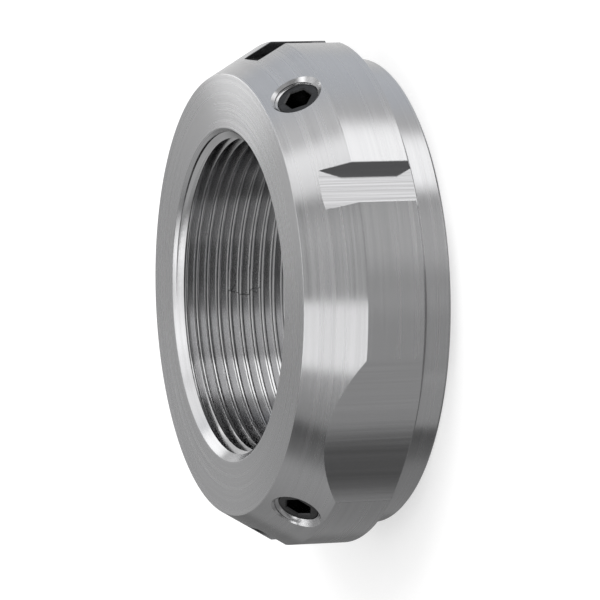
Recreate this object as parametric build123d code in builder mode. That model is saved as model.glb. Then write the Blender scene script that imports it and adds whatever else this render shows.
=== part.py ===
from build123d import *
import os
from math import cos, radians, sin, tan

# Driving dimensions of the lock nut, in millimetres and degrees.
# The bore axis is Z. The rear face, which presses on the bearing, is at Z = 0.
# The cone and the front face are at the top.

# ring
thread_diameter = 55.0
thread_pitch = 2.0
ring_wall = 15.0            # thread diameter to rim, on the radius
nut_width = 25.0

# rim, from the rear face to the front face
shoulder_height = 3.2       # the rim stands this far proud of the collar
collar_length = 5.0
collar_chamfer = 0.4
rim_chamfer = 1.0
cone_length = 9.2           # along the bore axis
cone_angle = 30.0           # between the cone's side and the bore axis

# bore mouths: each is a 45 degree chamfer from this far outside the thread down to the bore wall
front_mouth_step = 0.6
rear_mouth_step = 0.1

# hook spanner slots and wrench flats
slot_width = 7.0
slot_depth = 3.0
flat_depth = 2.5

# locking screws and pins
screw_count = 3
screw_diameter = 8.0
screw_length = 8.0
screw_below_face = 5.0      # front face to where a screw's axis meets the cone
screw_recess = 1.0          # below the cone, along the screw's axis
screw_end_chamfer = 0.6
screw_point_diameter = 5.5
countersink_step = 0.4      # the hole's mouth is wider than the hole by this, on the radius
thread_run_out = 0.8        # the screw's hole goes on below the screw by this
socket_across_flats = 4.0
socket_depth = 4.0
socket_turn = 18.0          # from the rim's direction round to a corner of the hexagon
socket_chamfer = 0.2
drill_point_angle = 118.0
pin_diameter = 5.0
pin_end_chamfer = 0.3

# running clearances, on the radius
screw_clearance = 0.03
pin_clearance = 0.04

# Sizes worked out from the ones above.
outer_radius = thread_diameter / 2 + ring_wall
collar_radius = outer_radius - shoulder_height
bore_radius = thread_diameter / 2 - 0.5413 * thread_pitch     # crests of a 60 degree internal thread
cone_start = nut_width - cone_length
face_radius = outer_radius - cone_length * tan(radians(cone_angle))
front_mouth_radius = thread_diameter / 2 + front_mouth_step
rear_mouth_radius = thread_diameter / 2 + rear_mouth_step

screw_axis_height = nut_width - screw_below_face
screw_axis_radius = outer_radius - (screw_axis_height - cone_start) * tan(radians(cone_angle))
screw_hole_radius = screw_diameter / 2 + screw_clearance
screw_hole_depth = screw_recess + screw_length + thread_run_out
pin_hole_radius = pin_diameter / 2 + pin_clearance
pin_top = screw_recess + screw_length
through_depth = (screw_axis_radius - bore_radius) / cos(radians(cone_angle)) + pin_diameter

# The first screw is on +X. The flats face +Y and -Y, half-way between two slots.
# The slots lie 30 degrees to each side of the X axis.
screw_angles = [index * 360 / screw_count for index in range(screw_count)]
flat_angles = [90, 270]
slot_angles = [30, 150, 210, 330]


def cone_plane(angle):
    """A plane that touches the cone where a screw's axis leaves it, facing outwards."""
    turn = radians(angle)
    tilt = radians(cone_angle)
    return Plane(
        origin=(screw_axis_radius * cos(turn), screw_axis_radius * sin(turn), screw_axis_height),
        x_dir=(-sin(turn), cos(turn), 0),
        z_dir=(cos(tilt) * cos(turn), cos(tilt) * sin(turn), sin(tilt)),
    )


def rim_plane(angle, radius):
    """A plane square to a radius of the nut, at this distance from the bore axis, with X up the axis."""
    turn = radians(angle)
    return Plane(
        origin=(radius * cos(turn), radius * sin(turn), 0),
        x_dir=(0, 0, 1),
        z_dir=(cos(turn), sin(turn), 0),
    )


def export_piece(piece, label):
    """Names a finished piece and writes it to its own file."""
    piece.label = label
    export_step(piece, f"parts/{label}.step")


os.makedirs("parts", exist_ok=True)

# Nut body: the turned ring, then its slots, flats and inclined holes.
with BuildPart() as nut_body:
    with BuildSketch(Plane.XZ):
        with BuildLine():
            Polyline(
                (rear_mouth_radius, 0),
                (collar_radius - collar_chamfer, 0),
                (collar_radius, collar_chamfer),
                (collar_radius, collar_length),
                (outer_radius - rim_chamfer, collar_length),
                (outer_radius, collar_length + rim_chamfer),
                (outer_radius, cone_start),
                (face_radius, nut_width),
                (front_mouth_radius, nut_width),
                (bore_radius, nut_width - (front_mouth_radius - bore_radius)),
                (bore_radius, rear_mouth_radius - bore_radius),
                close=True,
            )
        make_face()
    revolve(axis=Axis.Z)

    # Each slot runs from the shoulder out through the cone, with a flat floor.
    for angle in slot_angles:
        with BuildSketch(rim_plane(angle, outer_radius - slot_depth)):
            with Locations(((collar_length + nut_width) / 2, 0)):
                Rectangle(nut_width - collar_length, slot_width)
        extrude(amount=slot_depth + 1, mode=Mode.SUBTRACT)

    # Each flat is milled across the rim down to the shoulder.
    for angle in flat_angles:
        with BuildSketch(rim_plane(angle, outer_radius - flat_depth)):
            with Locations(((collar_length + nut_width) / 2, 0)):
                Rectangle(nut_width - collar_length, 2 * outer_radius)
        extrude(amount=flat_depth + 1, mode=Mode.SUBTRACT)

    # A countersunk screw hole square to the cone, and a pin hole on through to the bore.
    with Locations(*[cone_plane(angle) for angle in screw_angles]):
        CounterSinkHole(
            radius=screw_hole_radius,
            counter_sink_radius=screw_hole_radius + countersink_step,
            depth=screw_hole_depth,
            counter_sink_angle=90,
        )
        Hole(radius=pin_hole_radius, depth=through_depth)
export_piece(nut_body.part, "nut_body")

for index, angle in enumerate(screw_angles, start=1):
    cone_top = cone_plane(angle)

    # Grub screw: hexagon socket above, flat point below.
    with BuildPart() as grub_screw:
        with BuildSketch(cone_top.offset(-screw_recess - screw_length)):
            Circle(screw_diameter / 2)
        extrude(amount=screw_length)
        ends = grub_screw.edges().filter_by(GeomType.CIRCLE).sort_by(Axis(cone_top.origin, cone_top.z_dir))
        chamfer(ends[0], length=(screw_diameter - screw_point_diameter) / 2)
        chamfer(ends[-1], length=screw_end_chamfer)
        with BuildSketch(cone_top.offset(-screw_recess)) as socket:
            RegularPolygon(
                radius=socket_across_flats / 2,
                side_count=6,
                major_radius=False,
                rotation=socket_turn,
            )
        extrude(amount=-socket_depth, mode=Mode.SUBTRACT)
        mouth = grub_screw.faces().sort_by(Axis(cone_top.origin, cone_top.z_dir))[-1]
        chamfer(mouth.inner_wires()[0].edges(), length=socket_chamfer)
        with Locations(cone_top.offset(-screw_recess - socket_depth)):
            Cone(
                bottom_radius=0,
                top_radius=socket_across_flats / 2,
                height=socket_across_flats / 2 / tan(radians(drill_point_angle / 2)),
                align=(Align.CENTER, Align.CENTER, Align.MAX),
                mode=Mode.SUBTRACT,
            )
    export_piece(grub_screw.part, f"grub_screw_{index}")

    # Locking pin: from the screw's point down to the bore, where its tip follows the bore wall.
    with BuildPart() as locking_pin:
        with BuildSketch(cone_top.offset(-pin_top)):
            Circle(pin_diameter / 2)
        extrude(amount=pin_top - through_depth)
        top_edge = locking_pin.edges().filter_by(GeomType.CIRCLE).sort_by(
            Axis(cone_top.origin, cone_top.z_dir)
        )[-1]
        chamfer(top_edge, length=pin_end_chamfer)
        with BuildSketch(Plane.XY):
            Circle(bore_radius)
        extrude(amount=nut_width, mode=Mode.SUBTRACT)
    export_piece(locking_pin.part, f"locking_pin_{index}")

print("outer diameter", 2 * outer_radius, "bore diameter", round(2 * bore_radius, 3))
print("face diameter", round(2 * face_radius, 2), "cone starts at", cone_start)
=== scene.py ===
# %% [markdown]
# # A bearing lock nut
# This nut screws on a shaft's fine thread and holds a bearing in place. Three pins under three grub
# screws lock it there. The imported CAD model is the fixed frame: it says where each part is and how
# it moves. This lesson gives the parts their real threads, edges and finishes, in the same place.

# %% Load the frame
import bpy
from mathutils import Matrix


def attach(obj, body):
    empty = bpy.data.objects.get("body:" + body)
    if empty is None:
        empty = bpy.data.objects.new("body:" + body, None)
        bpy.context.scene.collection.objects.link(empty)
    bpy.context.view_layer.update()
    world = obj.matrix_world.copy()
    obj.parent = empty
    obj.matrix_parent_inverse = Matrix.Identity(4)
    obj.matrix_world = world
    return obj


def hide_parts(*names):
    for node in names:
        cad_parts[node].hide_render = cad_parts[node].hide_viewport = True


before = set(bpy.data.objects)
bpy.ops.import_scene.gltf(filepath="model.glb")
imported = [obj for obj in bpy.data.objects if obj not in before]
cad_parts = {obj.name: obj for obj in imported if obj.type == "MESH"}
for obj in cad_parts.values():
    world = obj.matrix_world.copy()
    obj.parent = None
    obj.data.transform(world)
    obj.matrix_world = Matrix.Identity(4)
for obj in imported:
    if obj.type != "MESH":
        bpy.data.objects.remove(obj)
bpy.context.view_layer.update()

# %% [markdown]
# ## Tools
# Blender's bmesh builds and changes shapes. The rest is plain mathematics.

# %% Tools of this lesson
from math import cos, pi, radians, sin, tan

import bmesh
import bpy
from mathutils import Matrix, Vector

# %% [markdown]
# ## The camera
# The photograph was taken with a long lens, so the rear of the nut looks hardly smaller than its
# front. The nut stood on its rim there. Here it lies on its rear face, so that it stays put, and
# the camera is turned on its side to see it in the same way. A camera looks along its own -Z, so
# its place is found by going back from the point it aims at.

# %% Place the camera
camera_aim = Vector((-0.0009, -0.0009, 0.0120))
camera_distance = 0.9711
camera_azimuth = radians(35.36)
camera_height = radians(20.24)
camera_roll = radians(-91.89)

camera_data = bpy.data.cameras.new("photo_camera")
camera_data.lens = 344.8
camera_data.sensor_width = 36
camera_data.clip_end = 10
camera = bpy.data.objects.new("photo_camera", camera_data)
bpy.context.scene.collection.objects.link(camera)
look = (
    Matrix.Rotation(camera_azimuth, 4, "Z")
    @ Matrix.Rotation(pi / 2 - camera_height, 4, "X")
    @ Matrix.Rotation(camera_roll, 4, "Z")
)
step_back = Matrix.Translation((0, 0, camera_distance))
camera.matrix_world = Matrix.Translation(camera_aim) @ look @ step_back
bpy.context.scene.camera = camera
print("the camera is at", [round(value, 3) for value in camera.matrix_world.translation])

# %% [markdown]
# ## The floor
# The photograph has a white ground with one soft shadow. A wide disc takes that shadow. Its grey
# alone would look dull, so the camera, and only the camera, sees it glow up to white. Bare steel is
# a mirror more than a colour, and a white floor in it would hide its shape, so shiny surfaces look
# through the floor to the studio below.

# %% Lay the floor
def made_object(shape, name):
    """Turns a finished shape into an object."""
    mesh = bpy.data.meshes.new(name)
    shape.to_mesh(mesh)
    shape.free()
    made = bpy.data.objects.new(name, mesh)
    bpy.context.scene.collection.objects.link(made)
    return made


def add_node(tree, kind, **settings):
    """Adds a node and sets its properties."""
    node = tree.nodes.new(kind)
    for key, value in settings.items():
        setattr(node, key, value)
    return node


def calculated(tree, operation, *values):
    """Adds a Math node and returns its result. Each value is a number or another node's output."""
    node = add_node(tree, "ShaderNodeMath", operation=operation)
    for socket, value in zip(node.inputs, values):
        if isinstance(value, (int, float)):
            socket.default_value = value
        else:
            tree.links.new(value, socket)
    return node.outputs[0]


disc_radius = 1.5
floor_grey = 0.6
glow_strength = 0.5

disc = bmesh.new()
bmesh.ops.create_circle(disc, cap_ends=True, segments=96, radius=disc_radius)
floor = made_object(disc, "floor")
floor.visible_glossy = False

white_floor = bpy.data.materials.new("white_floor")
white_floor.use_nodes = True
floor_shader = white_floor.node_tree.nodes["Principled BSDF"]
floor_shader.inputs["Base Color"].default_value = (floor_grey, floor_grey, floor_grey, 1)
floor_shader.inputs["Roughness"].default_value = 0.9
floor_shader.inputs["Specular IOR Level"].default_value = 0.0
floor_shader.inputs["Emission Color"].default_value = (1, 1, 1, 1)
camera_ray = white_floor.node_tree.nodes.new("ShaderNodeLightPath").outputs["Is Camera Ray"]
floor_glow = calculated(white_floor.node_tree, "MULTIPLY", camera_ray, glow_strength)
white_floor.node_tree.links.new(floor_glow, floor_shader.inputs["Emission Strength"])
floor.data.materials.append(white_floor)

# %% [markdown]
# ## The studio round the nut
# What a steel ring shows is the room. A photographer puts long white screens and dark cards round
# it, along its axis, and each gives one band along the ring. Here the world holds those screens.
# Every screen is a range of directions, with soft ends, round the bore axis and up or down from the
# horizon. Only shiny surfaces see them, and the next steps give every other ray plain white light.

# %% Build one soft screen
def soft_step(tree, value, start, end):
    """Adds a smooth step: 0 where the value is at start, 1 where it is at end."""
    step = add_node(tree, "ShaderNodeMapRange", interpolation_type="SMOOTHSTEP")
    for name, source in (("Value", value), ("From Min", start), ("From Max", end)):
        if isinstance(source, (int, float)):
            step.inputs[name].default_value = source
        else:
            tree.links.new(source, step.inputs[name])
    return step.outputs[0]


soft_screen = bpy.data.node_groups.new("soft_screen", "ShaderNodeTree")
for name in ("Round", "Up", "Middle", "Half Width", "Lowest", "Highest", "Softness"):
    soft_screen.interface.new_socket(name, in_out="INPUT", socket_type="NodeSocketFloat")
soft_screen.interface.new_socket("Mask", in_out="OUTPUT", socket_type="NodeSocketFloat")
ends = soft_screen.nodes.new("NodeGroupInput").outputs
side = calculated(soft_screen, "SUBTRACT", ends["Round"], ends["Middle"])
side = calculated(soft_screen, "ABSOLUTE", calculated(soft_screen, "WRAP", side, 180.0, -180.0))
limits = {}
for name in ("Half Width", "Lowest", "Highest"):
    limits[name] = [
        calculated(soft_screen, operation, ends[name], ends["Softness"])
        for operation in ("SUBTRACT", "ADD")
    ]
mask = soft_step(soft_screen, side, limits["Half Width"][1], limits["Half Width"][0])
above = soft_step(soft_screen, ends["Up"], limits["Lowest"][0], limits["Lowest"][1])
below = soft_step(soft_screen, ends["Up"], limits["Highest"][1], limits["Highest"][0])
mask = calculated(soft_screen, "MULTIPLY", calculated(soft_screen, "MULTIPLY", mask, above), below)
soft_screen.links.new(mask, soft_screen.nodes.new("NodeGroupOutput").inputs["Mask"])

# %% [markdown]
# ## Where each screen hangs
# Each line of the table is one screen. The bright bands on the rim and on the cone are the long and
# the short light, the grey between them is the front screen, and the cool grey at the top of the
# picture is the sky. The room is a little light from everywhere, and where screens meet they add up.

# %% Hang the screens
world = bpy.data.worlds.new("studio")
world.use_nodes = True
world.cycles.sampling_method = "NONE"
bpy.context.scene.world = world
bpy.context.scene.view_settings.view_transform = "Standard"
studio = world.node_tree
studio.nodes.clear()

direction = studio.nodes.new("ShaderNodeTexCoord").outputs["Generated"]
axes = studio.nodes.new("ShaderNodeSeparateXYZ")
studio.links.new(direction, axes.inputs[0])
round_axis = calculated(studio, "ARCTAN2", axes.outputs["Y"], axes.outputs["X"])
round_axis = calculated(studio, "DEGREES", round_axis)
up = calculated(studio, "DEGREES", calculated(studio, "ARCSINE", axes.outputs["Z"]))

all_round = 200
deep = -48
above_all = 120
neutral = (1.0, 1.0, 1.0)
blue = (0.0, 0.4, 1.0)
# screen: from and to in degrees round the axis, lowest and highest, softness, brightness, tint
screens = {
    "room": (-all_round, all_round, -above_all, above_all, 5, 0.23, neutral),
    "sky": (27, 76, deep, above_all, 5, 0.79, neutral),
    "sky end": (76, 125, deep, above_all, 5, 0.69, neutral),
    "blue glass": (44, 86, deep, 34, 8, 0.09, blue),
    "front": (-58, -8, deep, 18, 12, 0.50, neutral),
    "front top": (-58, -32, 18, above_all, 10, 0.17, neutral),
    "front top end": (-32, -8, 18, above_all, 10, 0.35, neutral),
    "long light": (-5, 27, -40, 6, 5, 2.35, neutral),
    "long light end": (-5, 23, 6, 38, 4, 2.10, neutral),
    "short light": (-97, -60, 26, 43, 3, 2.80, neutral),
    "upper light": (26, 85, 33, 66, 5, 1.15, neutral),
    "mouth light": (-142, 32, 53, 74, 5, 2.70, neutral),
    "ceiling": (-all_round, all_round, 66, above_all, 6, 0.55, neutral),
    "wall": (100, 157, 0, above_all, 8, 0.08, neutral),
    "left": (157, 212, deep, above_all, 5, 0.20, neutral),
    "left top": (128, 212, 12, 60, 6, 0.30, neutral),
    "lower front": (-97, -56, -30, 12, 8, 0.50, neutral),
    "under": (-42, 2, -62, -36, 8, 1.80, neutral),
    "ground": (-all_round, all_round, -above_all, -64, 6, 0.45, neutral),
    "lower": (-131, -97, deep, above_all, 3, 0.40, neutral),
}
seen = None
for start, end, lowest, highest, softness, brightness, tint in screens.values():
    screen = studio.nodes.new("ShaderNodeGroup")
    screen.node_tree = soft_screen
    studio.links.new(round_axis, screen.inputs["Round"])
    studio.links.new(up, screen.inputs["Up"])
    screen.inputs["Middle"].default_value = (start + end) / 2
    screen.inputs["Half Width"].default_value = (end - start) / 2
    screen.inputs["Lowest"].default_value = lowest
    screen.inputs["Highest"].default_value = highest
    screen.inputs["Softness"].default_value = softness
    glow = add_node(studio, "ShaderNodeVectorMath", operation="SCALE")
    glow.inputs[0].default_value = [brightness * part for part in tint]
    studio.links.new(screen.outputs["Mask"], glow.inputs["Scale"])
    if seen is None:
        seen = glow.outputs[0]
        continue
    together = add_node(studio, "ShaderNodeVectorMath", operation="ADD")
    studio.links.new(seen, together.inputs[0])
    studio.links.new(glow.outputs[0], together.inputs[1])
    seen = together.outputs[0]
print(len(screens), "screens hang round the nut")

# %% [markdown]
# ## Three kinds of rays
# A ray from a shiny surface sees the screens, a ray from the camera sees white, and every other ray
# sees even, plain light.

# %% Show each ray its part of the studio
floor_light = 0.85


def background(strength, colour=None):
    """A background of this strength, white or in the colour of another node."""
    shader = add_node(studio, "ShaderNodeBackground")
    shader.inputs["Strength"].default_value = strength
    shader.inputs["Color"].default_value = (1, 1, 1, 1)
    if colour is not None:
        studio.links.new(colour, shader.inputs["Color"])
    return shader.outputs[0]


ray = studio.nodes.new("ShaderNodeLightPath")
shown = background(floor_light)
for kind, shader in (("Is Glossy Ray", background(1, seen)), ("Is Camera Ray", background(1))):
    choice = studio.nodes.new("ShaderNodeMixShader")
    studio.links.new(ray.outputs[kind], choice.inputs["Fac"])
    studio.links.new(shown, choice.inputs[1])
    studio.links.new(shader, choice.inputs[2])
    shown = choice.outputs[0]
studio.links.new(shown, studio.nodes.new("ShaderNodeOutputWorld").inputs["Surface"])

# %% [markdown]
# ## Cards close to the nut
# A screen far away looks the same from every place on the nut. A card close by slides along the
# steel instead, and so it gives a flat surface a soft change from light to dark. Two cards do that:
# a long dark one in front of a wrench flat, and a small bright one above and beside the front face.

# %% Place the cards
def card(name, centre, facing, width, length, brightness):
    """A glowing rectangle that only shiny surfaces see."""
    shape = bmesh.new()
    bmesh.ops.create_grid(shape, x_segments=1, y_segments=1, size=0.5)
    bmesh.ops.scale(shape, vec=(width, length, 1), verts=shape.verts)
    turn = (Vector(facing) - Vector(centre)).to_track_quat("Z", "Y").to_matrix().to_4x4()
    bmesh.ops.transform(shape, matrix=Matrix.Translation(centre) @ turn, verts=shape.verts)
    made = made_object(shape, name)
    made.visible_camera = False
    made.visible_diffuse = False
    made.visible_shadow = False
    glow = bpy.data.materials.new(name)
    glow.use_nodes = True
    glow.cycles.emission_sampling = "NONE"
    glow.node_tree.nodes.clear()
    emission = glow.node_tree.nodes.new("ShaderNodeEmission")
    emission.inputs["Strength"].default_value = brightness
    output = glow.node_tree.nodes.new("ShaderNodeOutputMaterial")
    glow.node_tree.links.new(emission.outputs[0], output.inputs["Surface"])
    made.data.materials.append(glow)


dark_card_turn = radians(-114.1)
dark_card_distance = 0.085
dark_card_height = 0.090
dark_card_place = (
    dark_card_distance * cos(dark_card_turn),
    dark_card_distance * sin(dark_card_turn),
    dark_card_height,
)
card("dark_card", dark_card_place, (0, 0, dark_card_height), width=0.011, length=0.222, brightness=0.17)
card("bright_card", (0.000, 0.130, 0.080), (0.02, 0.02, 0.025), width=0.07, length=0.06, brightness=2.8)

# %% [markdown]
# ## The shadow
# One large lamp above the nut gives the soft shadow on the floor. Steel doesn't see this lamp.

# %% Hang the lamp
lamp_data = bpy.data.lights.new("shadow_lamp", "AREA")
lamp_data.shape = "DISK"
lamp_data.size = 0.8
lamp_data.energy = 6
lamp = bpy.data.objects.new("shadow_lamp", lamp_data)
lamp_place = Vector((0.75, 0.43, 0.85))
lamp_turn = lamp_place.to_track_quat("Z", "Y").to_matrix().to_4x4()
lamp.matrix_world = Matrix.Translation(lamp_place) @ lamp_turn
lamp.visible_glossy = False
bpy.context.scene.collection.objects.link(lamp)

# %% [markdown]
# ## Turning and cutting a shape
# A lathe makes a ring by turning an outline about the bore axis. Blender's spin does the same with
# the corners of an outline. The corners are bevelled a little first, as a turner breaks sharp edges
# with a file. A Boolean then cuts tools out of a piece, as a cutter does. All shapes are modelled in
# millimetres and made metres at the end.

# %% Turn, cut and weld
SAME_POINT = 1e-4       # in millimetres


def turned(outline, steps, edge_break=0.0, centre_open=True):
    """Spins an outline of (radius, height) points about Z and returns the closed shape.

    An outline with an open centre goes all the way round. Any other starts and ends on the axis.
    """
    shape = bmesh.new()
    corners = [shape.verts.new((radius, 0, height)) for radius, height in outline]
    if centre_open:
        shape.faces.new(corners)
        if edge_break:
            bmesh.ops.bevel(shape, geom=corners, offset=edge_break, offset_type="OFFSET",
                            segments=4, profile=0.5, affect="VERTICES", material=-1)
        bmesh.ops.delete(shape, geom=shape.faces[:], context="FACES_ONLY")
    else:
        for first, second in zip(corners, corners[1:]):
            shape.edges.new((first, second))
        if edge_break:
            bmesh.ops.bevel(shape, geom=corners[1:-1], offset=edge_break, offset_type="OFFSET",
                            segments=3, profile=0.5, affect="VERTICES", material=-1)
    bmesh.ops.spin(shape, geom=shape.verts[:] + shape.edges[:], cent=(0, 0, 0), axis=(0, 0, 1),
                   angle=2 * pi, steps=steps, use_merge=True)
    bmesh.ops.remove_doubles(shape, verts=shape.verts[:], dist=SAME_POINT)
    bmesh.ops.recalc_face_normals(shape, faces=shape.faces[:])
    return shape


def combine(piece, tools, operation="DIFFERENCE"):
    """Cuts the tools out of a piece, or joins them to it, and removes them."""
    for tool in tools:
        step = piece.modifiers.new("tool", "BOOLEAN")
        step.operation = operation
        step.solver = "EXACT"
        step.material_mode = "INDEX"
        step.object = tool
    evaluated = piece.evaluated_get(bpy.context.evaluated_depsgraph_get())
    finished = bpy.data.meshes.new_from_object(evaluated)
    piece.modifiers.clear()
    piece.data = finished
    for tool in tools:
        bpy.data.objects.remove(tool)
    weld(piece)


def weld(piece):
    """Merges corners that a cut left a micrometre apart or less, and clears away what is left of them.

    That can open a hole. The face that fills it takes the finish of the face along its longest edge.
    """
    shape = bmesh.new()
    shape.from_mesh(piece.data)
    bmesh.ops.remove_doubles(shape, verts=shape.verts[:], dist=10 * SAME_POINT)
    bmesh.ops.dissolve_degenerate(shape, edges=shape.edges[:], dist=SAME_POINT)
    hole_edges = [edge for edge in shape.edges if edge.is_boundary]
    for face in bmesh.ops.holes_fill(shape, edges=hole_edges)["faces"]:
        longest = max(face.edges, key=lambda edge: edge.calc_length())
        neighbour = [beside for beside in longest.link_faces if beside != face][0]
        face.material_index = neighbour.material_index
    bmesh.ops.delete(shape, geom=[edge for edge in shape.edges if edge.is_wire], context="EDGES")
    lone_corners = [corner for corner in shape.verts if not corner.link_faces]
    bmesh.ops.delete(shape, geom=lone_corners, context="VERTS")
    shape.to_mesh(piece.data)
    open_edges = sum(1 for edge in shape.edges if not edge.is_manifold)
    shape.free()
    print(piece.name, "has", len(piece.data.polygons), "faces and", open_edges, "open edges")


# %% [markdown]
# ## The ring
# The outline follows the CAD model: a collar that presses on the bearing, a rim, a cone and the
# front face, and the two bore mouths. Only the shoulder behind the rim slants more here, as it does
# in the photograph.

# %% Turn the ring
outer_radius = 42.5
collar_radius = 39.3
collar_length = 4.4
rim_start = 6.0
cone_start = 15.8
nut_width = 25.0
collar_chamfer = 0.4
cone_angle = radians(30)
thread_radius = 27.5
thread_pitch = 2.0
bore_radius = thread_radius - 0.5413 * thread_pitch
face_radius = outer_radius - (nut_width - cone_start) * tan(cone_angle)
front_mouth = thread_radius + 0.6
rear_mouth = thread_radius + 0.1

ring_outline = [
    (rear_mouth, 0),
    (collar_radius - collar_chamfer, 0),
    (collar_radius, collar_chamfer),
    (collar_radius, collar_length),
    (outer_radius, rim_start),
    (outer_radius, cone_start),
    (face_radius, nut_width),
    (front_mouth, nut_width),
    (bore_radius, nut_width - (front_mouth - bore_radius)),
    (bore_radius, rear_mouth - bore_radius),
]
ring_steps = 288
finish_count = 6
TURNED, SLOT_FLOOR, FLAT, MILLED_WALL, THREAD, DRILLED = range(finish_count)
ring = turned(ring_outline, ring_steps, edge_break=0.07)
for face in ring.faces:
    in_bore = face.calc_center_median().xy.length < bore_radius + 0.05
    face.material_index = THREAD if in_bore else TURNED
nut = made_object(ring, "nut")
for finish in range(finish_count):
    nut.data.materials.append(None)
print("turned ring:", len(nut.data.polygons), "faces")

# %% [markdown]
# ## The fine thread
# A thread is a groove that climbs by one pitch each turn. Spin can climb too: with a step along the
# axis it sweeps the groove's outline into a long spring, and a Boolean cuts that out of the bore.

# %% Sweep a thread groove
def thread_groove(outline, pitch, low, high, lead, steps):
    """Sweeps a groove's (radius, height) outline up a right-hand thread from low to high.

    lead is a height at which the middle of the groove passes over the X axis.
    """
    turns = int((high - low) / pitch + 1)
    start = lead - pitch * int((lead - low) / pitch + 1)
    shape = bmesh.new()
    corners = [shape.verts.new((radius, 0, start + height)) for radius, height in outline]
    edges = [shape.edges.new(pair) for pair in zip(corners, corners[1:] + corners[:1])]
    bmesh.ops.spin(shape, geom=edges + corners, cent=(0, 0, 0), axis=(0, 0, 1),
                   dvec=(0, 0, pitch / steps), angle=2 * pi, steps=steps)
    one_turn = shape.verts[:] + shape.edges[:] + shape.faces[:]
    for turn in range(1, turns + 1):
        copy = bmesh.ops.duplicate(shape, geom=one_turn)["geom"]
        copied_corners = [item for item in copy if isinstance(item, bmesh.types.BMVert)]
        bmesh.ops.translate(shape, vec=(0, 0, pitch * turn), verts=copied_corners)
    bmesh.ops.remove_doubles(shape, verts=shape.verts[:], dist=SAME_POINT)
    bmesh.ops.holes_fill(shape, edges=[edge for edge in shape.edges if edge.is_boundary])
    bmesh.ops.recalc_face_normals(shape, faces=shape.faces[:])
    return shape


def groove_outline(inner, crest, root, pitch, crest_share, edge_break, relief):
    """The outline of one 60 degree groove, from open air at inner to its floor at root.

    crest_share is the part of a pitch that stays flat between two grooves. edge_break takes the
    edges off there, and relief rounds the floor.
    """
    half_mouth = pitch * (1 - crest_share) / 2
    flank = tan(radians(30))
    half_floor = half_mouth - abs(root - crest) * flank
    out = 1 if root > crest else -1
    side = [
        (inner, half_mouth + edge_break * 1.3),
        (crest - out * edge_break, half_mouth + edge_break * 1.3),
        (crest + out * edge_break * 1.5, half_mouth - edge_break * 1.5 * flank),
        (root - out * relief, half_floor + relief * flank),
        (root, half_floor * 0.6),
    ]
    return side + [(radius, -height) for radius, height in reversed(side)]


thread_steps = 144
thread_overrun = 1.2
thread_end_height = 24.65
thread_end_angle = 124
thread_lead = thread_end_height - thread_pitch * thread_end_angle / 360
shaft_groove = groove_outline(
    inner=25.9,
    crest=bore_radius,
    root=thread_radius + 0.05,
    pitch=thread_pitch,
    crest_share=0.1,
    edge_break=0.015,
    relief=0.03,
)


def shaft_thread_cutter(name):
    """The tool that cuts the shaft's thread, a little longer than the nut at both ends."""
    low = -thread_overrun
    high = nut_width + thread_overrun
    shape = thread_groove(shaft_groove, thread_pitch, low, high, thread_lead, thread_steps)
    for face in shape.faces:
        face.material_index = THREAD
    return made_object(shape, name)


# %% [markdown]
# ## Slots and flats
# A hook spanner holds the nut by its four slots, and a wrench by its two flats. A cutter mills each
# of them out of the rim along the axis, so its floor is flat and its marks run along it. Each tool
# here is a block, and every face that it cuts keeps the finish of the block's own face.

# %% Mill the slots and flats
slot_angles = [30, 150, 210, 330]
flat_angles = [90, 270]
slot_width = 7.0
slot_floor = outer_radius - 3.0
flat_floor = outer_radius - 2.5
mill_start = 4.0
mill_thickness = 6.0
flat_mill_width = 60.0


def milled_block(name, angle, floor_radius, width, floor_finish):
    """A block that mills one flat floor, parallel to the axis, out of the rim at this angle."""
    shape = bmesh.new()
    bmesh.ops.create_cube(shape, size=1)
    bmesh.ops.scale(shape, vec=(mill_thickness, width, nut_width), verts=shape.verts)
    middle = (floor_radius + mill_thickness / 2, 0, mill_start + nut_width / 2)
    bmesh.ops.translate(shape, vec=middle, verts=shape.verts)
    turn = Matrix.Rotation(radians(angle), 3, "Z")
    bmesh.ops.rotate(shape, cent=(0, 0, 0), matrix=turn, verts=shape.verts)
    outward = Vector((cos(radians(angle)), sin(radians(angle)), 0))
    shape.normal_update()
    for face in shape.faces:
        face.material_index = floor_finish if face.normal.dot(outward) < -0.9 else MILLED_WALL
    return made_object(shape, name)


mills = []
for angle in slot_angles:
    mills.append(milled_block(f"slot_mill_{angle}", angle, slot_floor, slot_width, SLOT_FLOOR))
for angle in flat_angles:
    mills.append(milled_block(f"flat_mill_{angle}", angle, flat_floor, flat_mill_width, FLAT))

# %% [markdown]
# ## Broken edges
# A knife-sharp edge catches no light and hurts a hand, so a file takes it off. The edges are found
# by where they lie, on a slot's wall or at the back of a floor, and a small bevel goes along them.

# %% Break the milled edges
ON_SURFACE = 1e-3       # in millimetres
ON_SHOULDER = 0.01


def shoulder_height(point):
    """How high the slanted shoulder behind the rim is at a point's distance from the axis."""
    slant = (rim_start - collar_length) / (outer_radius - collar_radius)
    return collar_length + slant * (point.xy.length - collar_radius)


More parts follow.
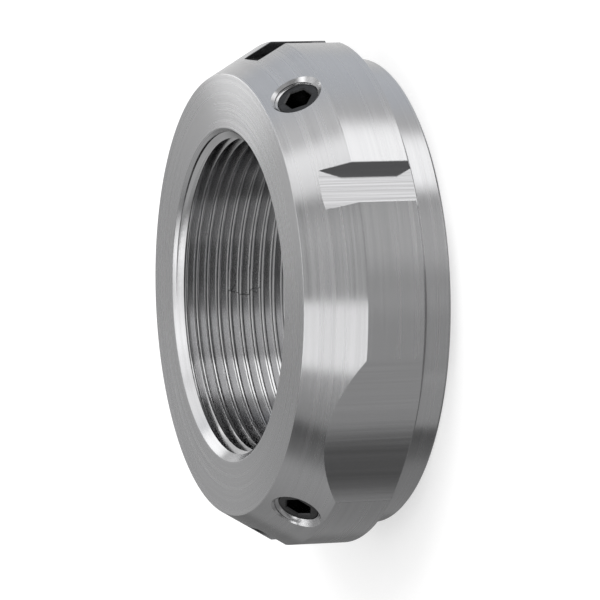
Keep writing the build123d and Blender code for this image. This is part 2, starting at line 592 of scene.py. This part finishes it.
def break_milled_edges(piece, size):
    """Files the outer edges of the slots, and the back edges of slots and flats."""
    shape = bmesh.new()
    shape.from_mesh(piece.data)
    sharp = set()
    for angle in slot_angles + flat_angles:
        upright = Matrix.Rotation(-radians(angle), 3, "Z")
        floor_radius = slot_floor if angle in slot_angles else flat_floor
        for edge in shape.edges:
            first, second = (upright @ corner.co for corner in edge.verts)
            on_floor = all(abs(point.x - floor_radius) < ON_SURFACE for point in (first, second))
            at_back = all(abs(point.z - shoulder_height(point)) < ON_SHOULDER for point in (first, second))
            on_wall = angle in slot_angles and all(
                abs(abs(point.y) - slot_width / 2) < ON_SURFACE and point.x > slot_floor - ON_SURFACE
                for point in (first, second)
            )
            if (on_floor and at_back) or (on_wall and not on_floor):
                sharp.add(edge)
    bmesh.ops.bevel(shape, geom=list(sharp), offset=size, offset_type="OFFSET", segments=2,
                    profile=0.5, affect="EDGES", clamp_overlap=False, material=-1)
    print("broke", len(sharp), "milled edges")
    shape.to_mesh(piece.data)
    shape.free()
    weld(piece)


# %% [markdown]
# ## The inclined holes
# Each locking hole goes in square to the cone: a countersink, a tapped length for the grub screw
# and a smaller bore for the pin, down to the thread. The drill is one turned outline, and the tap
# is the same climbing groove as before. Both are joined first, so that one cut makes the hole.

# %% Drill the inclined holes
screw_angles = [0, 120, 240]
screw_axis_height = 20.0
screw_axis_radius = outer_radius - (screw_axis_height - cone_start) * tan(cone_angle)
screw_pitch = 1.25
screw_recess = 1.0
screw_length = 8.0
screw_lead = -0.07
screw_steps = 96
hole_minor = 3.42
hole_major = 4.01
hole_mouth = 4.43
hole_floor = -9.8
pin_hole = 2.54
pin_hole_end = -20.0
drill_reach = 2.0


def on_cone(angle):
    """The move from a shape's own Z axis to the hole at this angle, square to the cone."""
    turn = radians(angle)
    return (
        Matrix.Rotation(turn, 4, "Z")
        @ Matrix.Translation((screw_axis_radius, 0, screw_axis_height))
        @ Matrix.Rotation(pi / 2 - cone_angle, 4, "Y")
    )


# The 45 degree countersink goes on above the cone, as far as the drill reaches there.
hole_outline = [
    (0, drill_reach),
    (hole_mouth + drill_reach, drill_reach),
    (hole_minor, hole_minor - hole_mouth),
    (hole_minor, hole_floor),
    (pin_hole, hole_floor),
    (pin_hole, pin_hole_end),
    (0, pin_hole_end),
]
hole_groove = groove_outline(
    inner=3.0,
    crest=hole_minor,
    root=hole_major,
    pitch=screw_pitch,
    crest_share=0.2,
    edge_break=0.03,
    relief=0.05,
)
tap_low = -9.0
tap_high = 0.2


def tapped_hole(angle):
    """The drill and the tap joined into one tool, at the hole of this angle."""
    tool = made_object(turned(hole_outline, screw_steps, centre_open=False), f"drill_{angle}")
    tap = thread_groove(hole_groove, screw_pitch, tap_low, tap_high, screw_lead, screw_steps)
    combine(tool, [made_object(tap, "tap")], "UNION")
    tool.data.transform(on_cone(angle))
    for face in tool.data.polygons:
        face.material_index = DRILLED
    return tool


combine(nut, mills)
break_milled_edges(nut, size=0.12)
combine(nut, [tapped_hole(angle) for angle in screw_angles])
combine(nut, [shaft_thread_cutter("shaft_thread")])
print("the nut has", sum(len(face.vertices) - 2 for face in nut.data.polygons), "triangles")

# %% [markdown]
# ## Grub screws
# Each hole takes a short screw without a head, made of blackened steel. A hexagon key turns it by
# the socket in its end. The screw is turned, threaded with a climbing groove on its outside, and
# then drilled and broached. The drill leaves its point at the bottom of the socket.

# %% Make the grub screws
screw_radius = 3.97
screw_top = -screw_recess
screw_end = -screw_recess - screw_length
screw_chamfer = 0.57
point_radius = 2.75
screw_outline = [
    (0, screw_top),
    (screw_radius - screw_chamfer, screw_top),
    (screw_radius, screw_top - screw_chamfer),
    (screw_radius, screw_end + screw_radius - point_radius),
    (point_radius, screw_end),
    (0, screw_end),
]
screw_groove = groove_outline(
    inner=4.6,
    crest=screw_radius,
    root=3.28,
    pitch=screw_pitch,
    crest_share=0.13,
    edge_break=0.02,
    relief=0.05,
)
die_low = -10.0
die_high = 0.6
socket_flats = 4.0
socket_corner = socket_flats / 2 / cos(pi / 6)
socket_depth = 4.0
socket_turn = radians(18)
socket_chamfer = 0.25
drill_half_angle = radians(59)
drill_tip_radius = 0.02
drill_radius = socket_flats / 2 - 0.05
drill_overlap = 0.5
hexagon_sides = 6
drill_sides = 32


def socket_tool(name, sides, lower_radius, upper_radius, low, high):
    """A tapered tool with this many sides, between two heights above or below the cone's surface."""
    shape = bmesh.new()
    bmesh.ops.create_cone(shape, cap_ends=True, segments=sides, radius1=lower_radius,
                          radius2=upper_radius, depth=high - low)
    bmesh.ops.translate(shape, vec=(0, 0, (low + high) / 2), verts=shape.verts)
    turn = Matrix.Rotation(socket_turn, 3, "Z")
    bmesh.ops.rotate(shape, cent=(0, 0, 0), matrix=turn, verts=shape.verts)
    return made_object(shape, name)


def cut_socket(screw):
    """Broaches the hexagon, chamfers its mouth, and leaves the drill's point at its bottom."""
    bottom = screw_top - socket_depth
    broach = socket_tool("broach", hexagon_sides, socket_corner, socket_corner, bottom, 0)
    combine(screw, [broach])
    mouth_corner = socket_corner + 2 * socket_chamfer
    mouth = socket_tool("mouth", hexagon_sides, socket_corner, mouth_corner,
                        screw_top - socket_chamfer, screw_top + socket_chamfer)
    combine(screw, [mouth])
    drill_point = socket_flats / 2 / tan(drill_half_angle)
    drill_top_radius = drill_radius + drill_overlap * tan(drill_half_angle)
    drill = socket_tool("drill", drill_sides, drill_tip_radius, drill_top_radius,
                        bottom - drill_point, bottom + drill_overlap)
    combine(screw, [drill])


def grub_screw(index, angle):
    """One screw with its thread and its socket, in its hole. Its thread fills the hole's grooves."""
    blank = turned(screw_outline, screw_steps, edge_break=0.06, centre_open=False)
    screw = made_object(blank, f"screw_{index}")
    lead = screw_lead + screw_pitch / 2
    groove = thread_groove(screw_groove, screw_pitch, die_low, die_high, lead, screw_steps)
    combine(screw, [made_object(groove, "die")])
    cut_socket(screw)
    screw.data.transform(on_cone(angle))
    return screw


screws = [grub_screw(index, angle) for index, angle in enumerate(screw_angles, start=1)]

# %% [markdown]
# ## Locking pins
# A grub screw presses a short pin on the shaft's thread. The pins sit in their holes while the bore
# is threaded, so that each tip carries the same thread as the bore round it. Only a fine line round
# the tip shows that it is a part of its own. For that line, a pin leans on one side of its hole, and
# its tip stands back a little.

# %% Make the locking pins
pin_radius = 2.48
pin_lean = -0.05
pin_recess = 0.05
pin_gap = 0.01
pin_top = screw_end - pin_gap - pin_recess
pin_end = -19.5
pin_steps = 64
bore_drill_length = 60
pin_outline = [
    (0, pin_top),
    (pin_radius, pin_top),
    (pin_radius, pin_end),
    (0, pin_end),
]


def locking_pin(index, angle):
    """A pin whose tip is cut to the bore's radius and carries the shaft's thread."""
    pin = made_object(turned(pin_outline, pin_steps, centre_open=False), f"pin_{index}")
    pin.data.transform(on_cone(angle))
    bore = bmesh.new()
    bmesh.ops.create_cone(bore, cap_ends=True, segments=ring_steps, radius1=bore_radius,
                          radius2=bore_radius, depth=bore_drill_length)
    combine(pin, [made_object(bore, "bore_drill")])
    combine(pin, [shaft_thread_cutter("shaft_thread")])
    rest = on_cone(angle).to_3x3() @ Vector((0, pin_lean, pin_recess))
    pin.data.transform(Matrix.Translation(rest))
    return pin


pins = [locking_pin(index, angle) for index, angle in enumerate(screw_angles, start=1)]

# %% [markdown]
# ## Smooth and sharp
# A turned face is smooth round the axis and ends in a clear edge. Each piece is made metres, its
# faces are smoothed, and every edge over 25 degrees stays sharp. Weighted normals keep the wide
# faces flat next to the small bevels.

# %% Finish every piece
millimetre = 0.001
sharp_angle = radians(25)


def finish_shape(piece):
    """Brings a piece from millimetres to metres and sets its shading."""
    mesh = piece.data
    mesh.transform(Matrix.Scale(millimetre, 4))
    mesh.shade_smooth()
    mesh.set_sharp_from_angle(angle=sharp_angle)
    weights = piece.modifiers.new("weights", "WEIGHTED_NORMAL")
    weights.keep_sharp = True
    evaluated = piece.evaluated_get(bpy.context.evaluated_depsgraph_get())
    smooth = bpy.data.meshes.new_from_object(evaluated)
    piece.modifiers.clear()
    piece.data = smooth


for piece in [nut] + screws + pins:
    finish_shape(piece)

# %% [markdown]
# ## Marks of the tools
# A lathe leaves fine rings round the bore axis, and a milling cutter leaves fine lines along its path.
# Both are a noise that changes quickly across the marks and slowly along them. Each is built once as
# a group of nodes that gives masks only, and each material uses it with its own strength.

# %% Build the marks
def marks_group(name, across_per_metre, along_per_metre, rings):
    """Makes a group with a Fine and a Broad mask, as rings round the axis or as lines along it."""
    group = bpy.data.node_groups.new(name, "ShaderNodeTree")
    for output in ("Fine", "Broad"):
        group.interface.new_socket(output, in_out="OUTPUT", socket_type="NodeSocketFloat")
    outputs = group.nodes.new("NodeGroupOutput")
    place = group.nodes.new("ShaderNodeTexCoord").outputs["Object"]
    axes = group.nodes.new("ShaderNodeSeparateXYZ")
    group.links.new(place, axes.inputs[0])
    across = group.nodes.new("ShaderNodeCombineXYZ")
    slow = None
    if rings:
        flat = add_node(group, "ShaderNodeVectorMath", operation="MULTIPLY")
        flat.inputs[1].default_value = (1, 1, 0)
        group.links.new(place, flat.inputs[0])
        radius = add_node(group, "ShaderNodeVectorMath", operation="LENGTH")
        group.links.new(flat.outputs[0], radius.inputs[0])
        parts = [
            calculated(group, "MULTIPLY", radius.outputs["Value"], across_per_metre),
            calculated(group, "MULTIPLY", axes.outputs["Z"], across_per_metre),
            calculated(group, "MULTIPLY", axes.outputs["X"], along_per_metre),
        ]
        slow = calculated(group, "MULTIPLY", axes.outputs["Y"], along_per_metre)
    else:
        parts = [
            calculated(group, "MULTIPLY", axes.outputs["X"], across_per_metre),
            calculated(group, "MULTIPLY", axes.outputs["Y"], across_per_metre),
            calculated(group, "MULTIPLY", axes.outputs["Z"], along_per_metre),
        ]
    for socket, part in zip(across.inputs, parts):
        group.links.new(part, socket)
    for output, scale, detail in (("Fine", 1.0, 3), ("Broad", 0.4, 2)):
        noise = add_node(group, "ShaderNodeTexNoise", noise_dimensions="4D")
        noise.inputs["Scale"].default_value = scale
        noise.inputs["Detail"].default_value = detail
        group.links.new(across.outputs[0], noise.inputs["Vector"])
        if slow is not None:
            group.links.new(slow, noise.inputs["W"])
        group.links.new(noise.outputs["Fac"], outputs.inputs[output])
    return group


turning_marks = marks_group("turning_marks", across_per_metre=2800, along_per_metre=24, rings=True)
milling_marks = marks_group("milling_marks", across_per_metre=1600, along_per_metre=25, rings=False)
grinding_marks = marks_group("grinding_marks", across_per_metre=2500, along_per_metre=60, rings=False)

# %% [markdown]
# ## Steel finishes
# Bare steel is a metal with a grey colour. Its marks make it shine in one direction more than in
# the other, which the anisotropy gives: across the rings of a turned face and round the ring on a
# milled one. The marks also change its tone and roughness a little, and press into the surface.

# %% Mix the steels
usual_noise = (0.3, 0.7)


def spread(tree, value, low, high):
    """Maps the usual values of a noise to low and high."""
    node = tree.nodes.new("ShaderNodeMapRange")
    node.inputs["From Min"].default_value = usual_noise[0]
    node.inputs["From Max"].default_value = usual_noise[1]
    node.inputs["To Min"].default_value = low
    node.inputs["To Max"].default_value = high
    tree.links.new(value, node.inputs["Value"])
    return node.outputs[0]


def steel(name, colour, roughness, anisotropy, turn, marks, tone_change, roughness_change, depth):
    """A steel with its marks. The turn is the anisotropy's, in turns, and the depth is in metres."""
    material = bpy.data.materials.new(name)
    material.use_nodes = True
    tree = material.node_tree
    shader = tree.nodes["Principled BSDF"]
    shader.inputs["Metallic"].default_value = 1
    if anisotropy:
        shader.inputs["Anisotropic"].default_value = anisotropy
        shader.inputs["Anisotropic Rotation"].default_value = turn
        tangent = add_node(tree, "ShaderNodeTangent", direction_type="RADIAL", axis="Z")
        tree.links.new(tangent.outputs[0], shader.inputs["Tangent"])
    lines = tree.nodes.new("ShaderNodeGroup")
    lines.node_tree = marks
    shade = add_node(tree, "ShaderNodeVectorMath", operation="SCALE")
    shade.inputs[0].default_value = colour
    tone = spread(tree, lines.outputs["Fine"], 1 - tone_change, 1 + tone_change)
    broad_tone = spread(tree, lines.outputs["Broad"], 1 - tone_change, 1 + tone_change)
    tree.links.new(calculated(tree, "MULTIPLY", tone, broad_tone), shade.inputs["Scale"])
    tree.links.new(shade.outputs[0], shader.inputs["Base Color"])
    smoothest = roughness - roughness_change
    roughest = roughness + roughness_change
    polish = spread(tree, lines.outputs["Broad"], smoothest, roughest)
    tree.links.new(polish, shader.inputs["Roughness"])
    press = tree.nodes.new("ShaderNodeBump")
    press.inputs["Strength"].default_value = 1
    press.inputs["Distance"].default_value = depth
    tree.links.new(lines.outputs["Fine"], press.inputs["Height"])
    tree.links.new(press.outputs[0], shader.inputs["Normal"])
    return material


bare = (0.36, 0.36, 0.365)
# Painted shade: the milled walls take a darker copy of the bare grey, which stands in for the shade in the
# slots.
painted_shade_grey = (0.23, 0.23, 0.235)
# Painted light: the bore's thread takes a lighter copy of the bare grey.
bright = (0.41, 0.41, 0.415)
pin_colour = (0.42, 0.42, 0.425)
blackened = (0.038, 0.038, 0.039)

# name: colour, roughness, anisotropy, its turn, marks, tone change, roughness change, depth
nut_finishes = {
    TURNED: steel("turned_steel", bare, 0.255, 0.9, 0.25, turning_marks, 0.03, 0.045, 6e-6),
    SLOT_FLOOR: steel("slot_steel", bare, 0.11, 0.5, 0, milling_marks, 0.05, 0.03, 12e-6),
    FLAT: steel("flat_steel", bare, 0.13, 0.5, 0, milling_marks, 0.04, 0.03, 4e-6),
    # The milled walls carry the painted shade.
    MILLED_WALL: steel("milled_wall_painted_shade_steel", painted_shade_grey, 0.16, 0.3, 0, milling_marks, 0.04, 0.03, 4e-6),
    # The thread in the bore carries the painted light.
    THREAD: steel("thread_painted_light_steel", bright, 0.17, 0.7, 0.25, turning_marks, 0.03, 0.03, 0.5e-6),
    DRILLED: steel("drilled_steel", bare, 0.26, 0, 0, grinding_marks, 0.05, 0.05, 2e-6),
}
black_steel = steel("black_steel", blackened, 0.27, 0, 0, grinding_marks, 0.1, 0.06, 3e-6)
pin_steel = steel("pin_steel", pin_colour, 0.17, 0.7, 0.25, turning_marks, 0.04, 0.03, 0.5e-6)
print("mixed", len(nut_finishes) + 2, "steels")

# %% [markdown]
# ## Pieces and bodies
# Each face of the nut has kept the number of its finish through all the cuts, so the steels only
# have to be put in that order. Then each piece goes on the body of the frame that moves it, and
# takes the place of its plain CAD solid. The screws move, and the pins stay with the nut.

# %% Give each piece its steel and its body
for finish, material in nut_finishes.items():
    nut.data.materials[finish] = material
for pieces, material in ((screws, black_steel), (pins, pin_steel)):
    for piece in pieces:
        piece.data.materials.clear()
        piece.data.materials.append(material)

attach(nut, "nut")
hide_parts("nut_body")
for index, (screw, pin) in enumerate(zip(screws, pins), start=1):
    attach(screw, f"screw_{index}")
    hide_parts(f"grub_screw_{index}")
    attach(pin, "nut")
    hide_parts(f"locking_pin_{index}")
